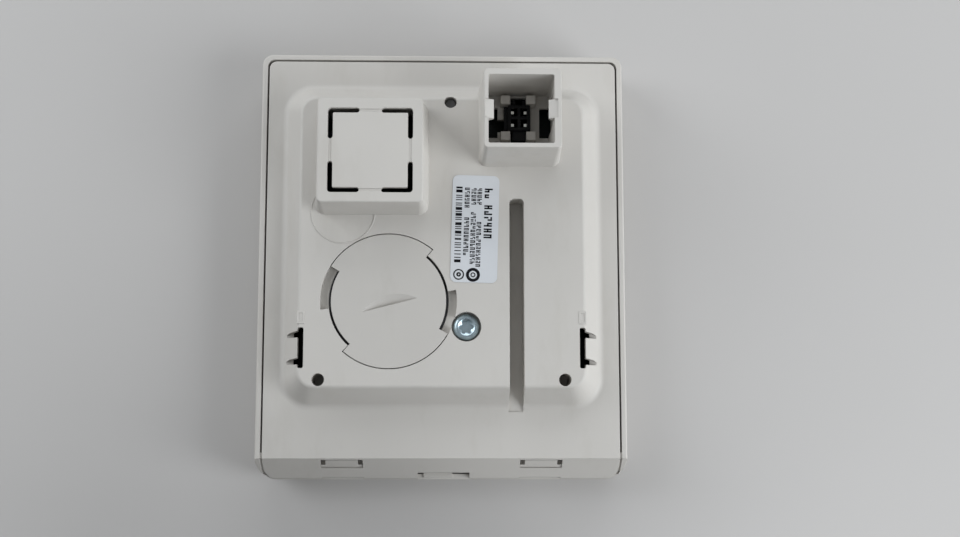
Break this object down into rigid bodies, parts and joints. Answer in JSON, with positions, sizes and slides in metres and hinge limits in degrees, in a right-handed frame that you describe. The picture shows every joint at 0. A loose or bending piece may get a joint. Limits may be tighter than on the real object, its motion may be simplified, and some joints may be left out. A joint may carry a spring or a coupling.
{
  "type": "alarm keypad panel",
  "caption": "Wall-mounted alarm keypad, rear side up: two-part plastic case with raised back, cable-entry boss, plug socket, battery cover, keys and display.",
  "frame": {"origin": "centre of the outline on the front face plane, on which the keypad lies", "axes": "+Z out of the rear, away from the wall side's front face; +Y to the keypad's upper end; +X to the right when looking at the rear"},
  "size_m": [0.12, 0.1404, 0.0518],
  "materials": {
    "case_plastic": "fine moulded texture",
    "cover_plastic": "fine moulded texture",
    "battery_cover_plastic": "fine moulded texture",
    "key_plastic": "satin",
    "key_plastic_dark": "satin",
    "mat_rubber": "matt",
    "lens_plastic": "smoked clear",
    "lcd_cell": "glossy",
    "frame_plastic": "matt",
    "circuit_board": "solder mask",
    "screw_steel": "zinc plated",
    "light_pipe": "clear",
    "lamp_body": "clear",
    "black_plastic": "matt",
    "pin_metal": "tin plated",
    "plunger_plastic": "satin",
    "capacitor_sleeve": "sleeved can",
    "cell_steel": "bright",
    "seal_rubber": "matt",
    "spacer_brass": "turned",
    "label_film": "printed film"
  },
  "bodies": {
    "case": {"front_shell": "case_plastic", "rear_cover": "cover_plastic", "key_mat": "mat_rubber", "display_lens": "lens_plastic", "lcd_glass": "lcd_cell", "lcd_frame": "frame_plastic", "main_board": "circuit_board", "power_board": "circuit_board", "board_screws": "screw_steel", "power_board_screws": "screw_steel", "centre_screw": "screw_steel", "status_light_pipes": "light_pipe", "status_lamps": "lamp_body", "buzzer": "black_plastic", "board_chips": "black_plastic", "link_strip": "black_plastic", "link_pins": "pin_metal", "header_housing": "black_plastic", "header_pins": "pin_metal", "tamper_switch": "black_plastic", "power_capacitors": "capacitor_sleeve", "relay": "black_plastic", "coin_cell": "cell_steel", "cell_holder": "black_plastic", "cell_spring": "cell_steel", "cell_clip": "cell_steel", "threaded_spacer": "spacer_brass", "data_label": "label_film"},
    "battery_lid": {"battery_cover": "battery_cover_plastic", "cover_seal": "seal_rubber"},
    "tamper_pin": {"tamper_plunger": "plunger_plastic"},
    "key_1_cap": {"key_1": "key_plastic"},
    "key_2_cap": {"key_2": "key_plastic"},
    "key_3_cap": {"key_3": "key_plastic"},
    "key_arm_cap": {"key_arm": "key_plastic_dark"},
    "key_4_cap": {"key_4": "key_plastic"},
    "key_5_cap": {"key_5": "key_plastic"},
    "key_6_cap": {"key_6": "key_plastic"},
    "key_part_arm_cap": {"key_part_arm": "key_plastic_dark"},
    "key_7_cap": {"key_7": "key_plastic"},
    "key_8_cap": {"key_8": "key_plastic"},
    "key_9_cap": {"key_9": "key_plastic"},
    "key_disarm_cap": {"key_disarm": "key_plastic_dark"},
    "key_star_cap": {"key_star": "key_plastic"},
    "key_0_cap": {"key_0": "key_plastic"},
    "key_hash_cap": {"key_hash": "key_plastic"},
    "key_enter_cap": {"key_enter": "key_plastic_dark"}
  },
  "joints": [
    {"name": "battery_cover_turn", "type": "hinge", "parent": "case", "child": "battery_lid", "pos_m": [-0.0171, -0.0135, 0.0281], "axis": [0, 0, 1], "range_deg": [0, 38]},
    {"name": "tamper_pin_press", "type": "slide", "parent": "case", "child": "tamper_pin", "axis": [0, 0, -1], "range_m": [0, 0.0012], "stiffness_N_per_m": 300, "springref_m": -0.0005},
    {"name": "key_1_press", "type": "slide", "parent": "case", "child": "key_1_cap", "axis": [0, 0, 1], "range_m": [0, 0.0008], "stiffness_N_per_m": 800, "springref_m": -0.0005},
    {"name": "key_2_press", "type": "slide", "parent": "case", "child": "key_2_cap", "axis": [0, 0, 1], "range_m": [0, 0.0008], "stiffness_N_per_m": 800, "springref_m": -0.0005},
    {"name": "key_3_press", "type": "slide", "parent": "case", "child": "key_3_cap", "axis": [0, 0, 1], "range_m": [0, 0.0008], "stiffness_N_per_m": 800, "springref_m": -0.0005},
    {"name": "key_arm_press", "type": "slide", "parent": "case", "child": "key_arm_cap", "axis": [0, 0, 1], "range_m": [0, 0.0008], "stiffness_N_per_m": 800, "springref_m": -0.0005},
    {"name": "key_4_press", "type": "slide", "parent": "case", "child": "key_4_cap", "axis": [0, 0, 1], "range_m": [0, 0.0008], "stiffness_N_per_m": 800, "springref_m": -0.0005},
    {"name": "key_5_press", "type": "slide", "parent": "case", "child": "key_5_cap", "axis": [0, 0, 1], "range_m": [0, 0.0008], "stiffness_N_per_m": 800, "springref_m": -0.0005},
    {"name": "key_6_press", "type": "slide", "parent": "case", "child": "key_6_cap", "axis": [0, 0, 1], "range_m": [0, 0.0008], "stiffness_N_per_m": 800, "springref_m": -0.0005},
    {"name": "key_part_arm_press", "type": "slide", "parent": "case", "child": "key_part_arm_cap", "axis": [0, 0, 1], "range_m": [0, 0.0008], "stiffness_N_per_m": 800, "springref_m": -0.0005},
    {"name": "key_7_press", "type": "slide", "parent": "case", "child": "key_7_cap", "axis": [0, 0, 1], "range_m": [0, 0.0008], "stiffness_N_per_m": 800, "springref_m": -0.0005},
    {"name": "key_8_press", "type": "slide", "parent": "case", "child": "key_8_cap", "axis": [0, 0, 1], "range_m": [0, 0.0008], "stiffness_N_per_m": 800, "springref_m": -0.0005},
    {"name": "key_9_press", "type": "slide", "parent": "case", "child": "key_9_cap", "axis": [0, 0, 1], "range_m": [0, 0.0008], "stiffness_N_per_m": 800, "springref_m": -0.0005},
    {"name": "key_disarm_press", "type": "slide", "parent": "case", "child": "key_disarm_cap", "axis": [0, 0, 1], "range_m": [0, 0.0008], "stiffness_N_per_m": 800, "springref_m": -0.0005},
    {"name": "key_star_press", "type": "slide", "parent": "case", "child": "key_star_cap", "axis": [0, 0, 1], "range_m": [0, 0.0008], "stiffness_N_per_m": 800, "springref_m": -0.0005},
    {"name": "key_0_press", "type": "slide", "parent": "case", "child": "key_0_cap", "axis": [0, 0, 1], "range_m": [0, 0.0008], "stiffness_N_per_m": 800, "springref_m": -0.0005},
    {"name": "key_hash_press", "type": "slide", "parent": "case", "child": "key_hash_cap", "axis": [0, 0, 1], "range_m": [0, 0.0008], "stiffness_N_per_m": 800, "springref_m": -0.0005},
    {"name": "key_enter_press", "type": "slide", "parent": "case", "child": "key_enter_cap", "axis": [0, 0, 1], "range_m": [0, 0.0008], "stiffness_N_per_m": 800, "springref_m": -0.0005}
  ]
}
